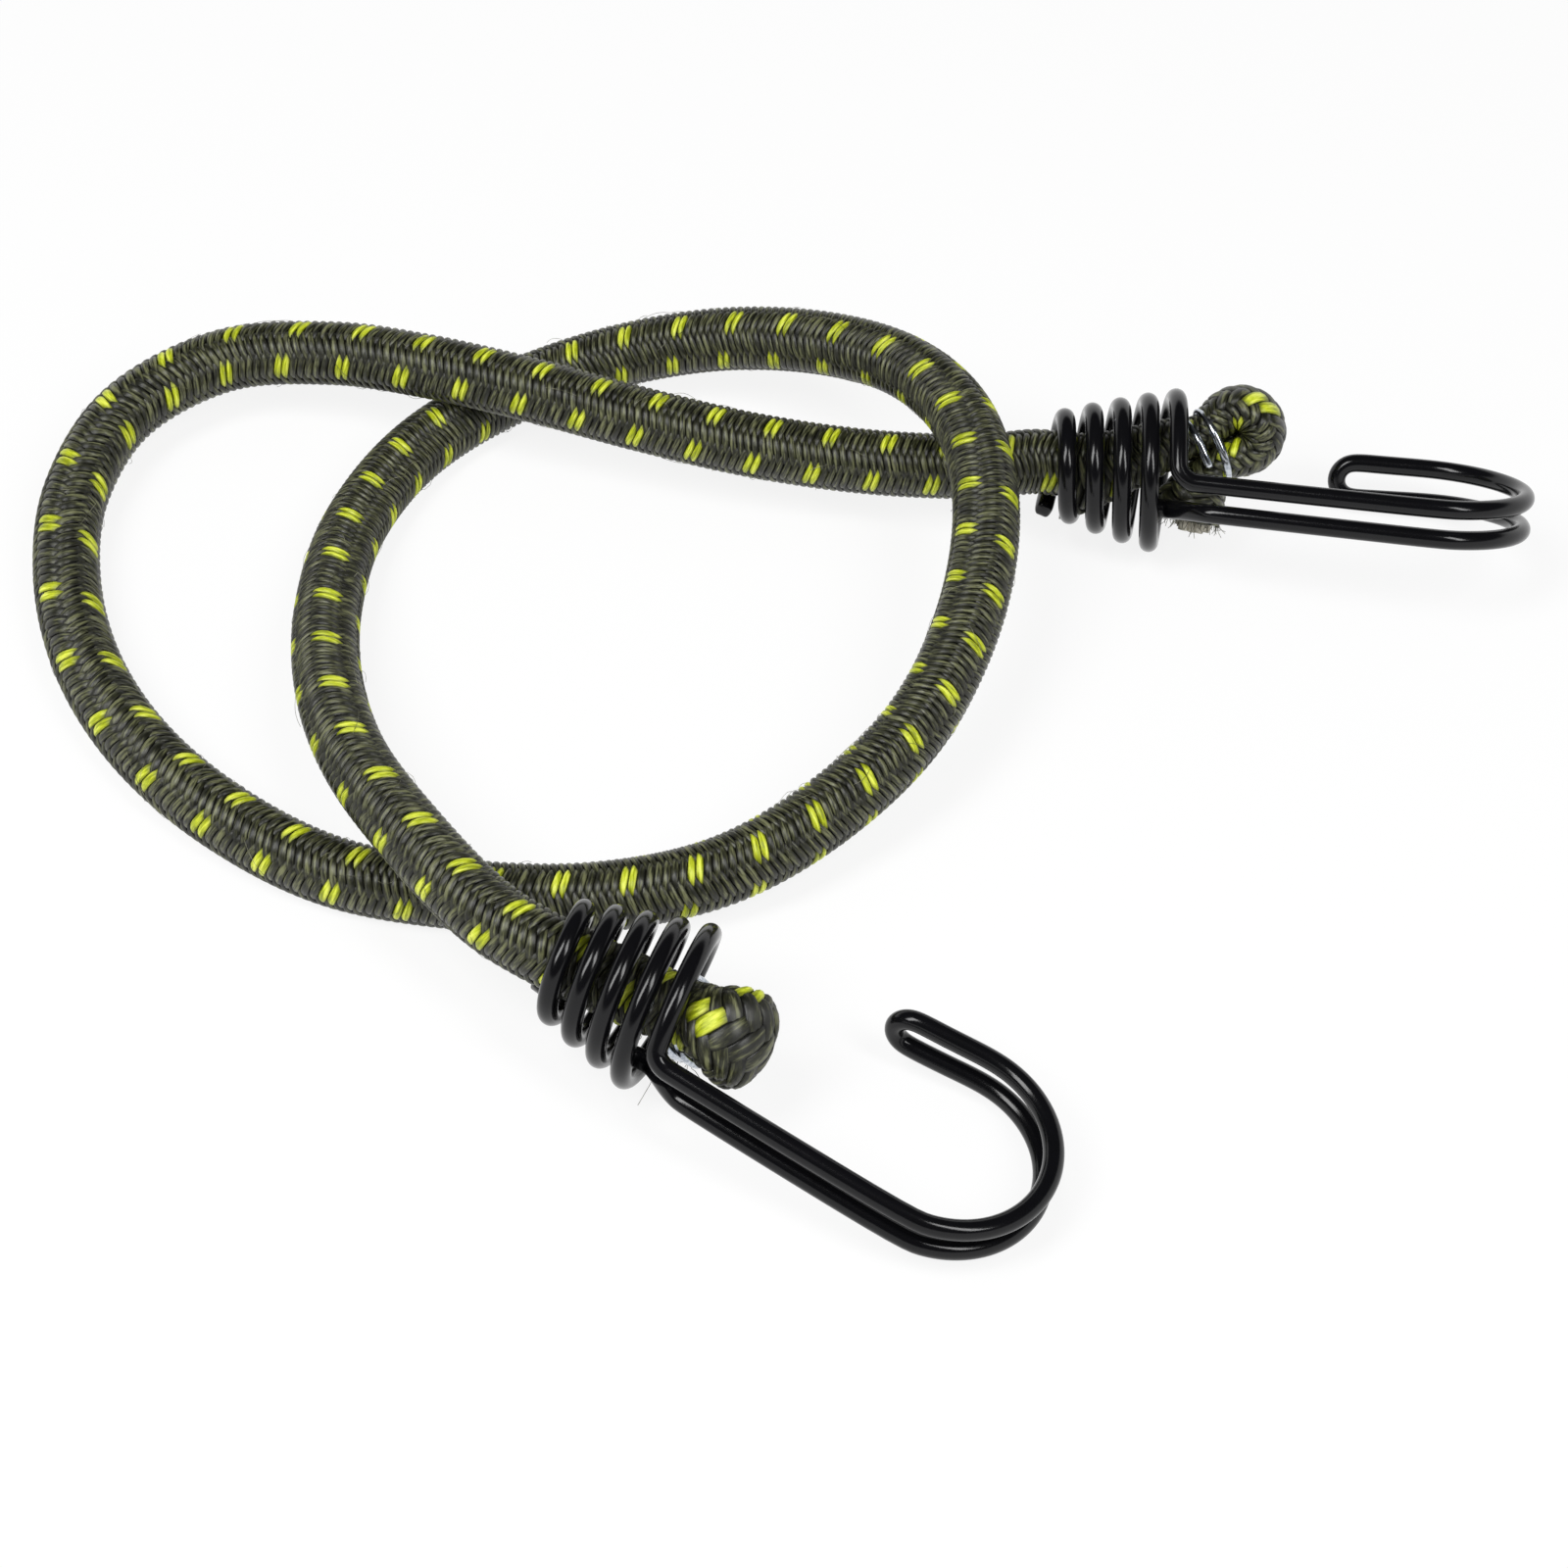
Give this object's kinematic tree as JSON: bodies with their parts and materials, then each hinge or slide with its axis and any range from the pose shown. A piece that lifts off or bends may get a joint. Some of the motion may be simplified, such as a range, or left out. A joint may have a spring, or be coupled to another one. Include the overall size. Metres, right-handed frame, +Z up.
{
  "type": "bungee cord",
  "caption": "Elastic braided cord lying in a loose looped bundle, with a doubled wire hook held at each end by a conical coil; stretches to hold loads down",
  "frame": {"origin": "On the ground, below the middle of the box round the two hooks, their clamp rings and the folded cord ends", "axes": "+Z is up, the looped cord lies on the plane z = 0, +X runs towards the back hook's bend and +Y away from the front hook"},
  "size_m": [0.2348, 0.1751, 0.0278],
  "materials": {
    "braid": "dark olive green woven synthetic yarn with bright yellow-green tracer yarns, satin sheen",
    "rubber_threads": "greyish white natural rubber threads, matt",
    "coated_wire": "glossy black plastic-dipped steel wire",
    "galvanised_wire": "bright galvanised steel wire"
  },
  "bodies": {
    "cord": {"braided_sheath": "braid", "rubber_core": "rubber_threads"},
    "back_end": {"wire_hook_back": "coated_wire", "sheath_fold_back": "braid", "core_fold_back": "rubber_threads", "hog_ring_back": "galvanised_wire"},
    "front_end": {"wire_hook_front": "coated_wire", "sheath_fold_front": "braid", "core_fold_front": "rubber_threads", "hog_ring_front": "galvanised_wire"}
  },
  "joints": [
    {"name": "back_hook_twist", "type": "hinge", "parent": "cord", "child": "back_end", "pos_m": [-0.0003, 0.0655, 0.0127], "axis": [0.9954, -0.0923, 0.0244], "range_deg": [-180, 180]},
    {"name": "front_hook_twist", "type": "hinge", "parent": "cord", "child": "front_end", "pos_m": [-0.0715, -0.0371, 0.01582], "axis": [0.9121, -0.3722, -0.1719], "range_deg": [-180, 180]}
  ]
}
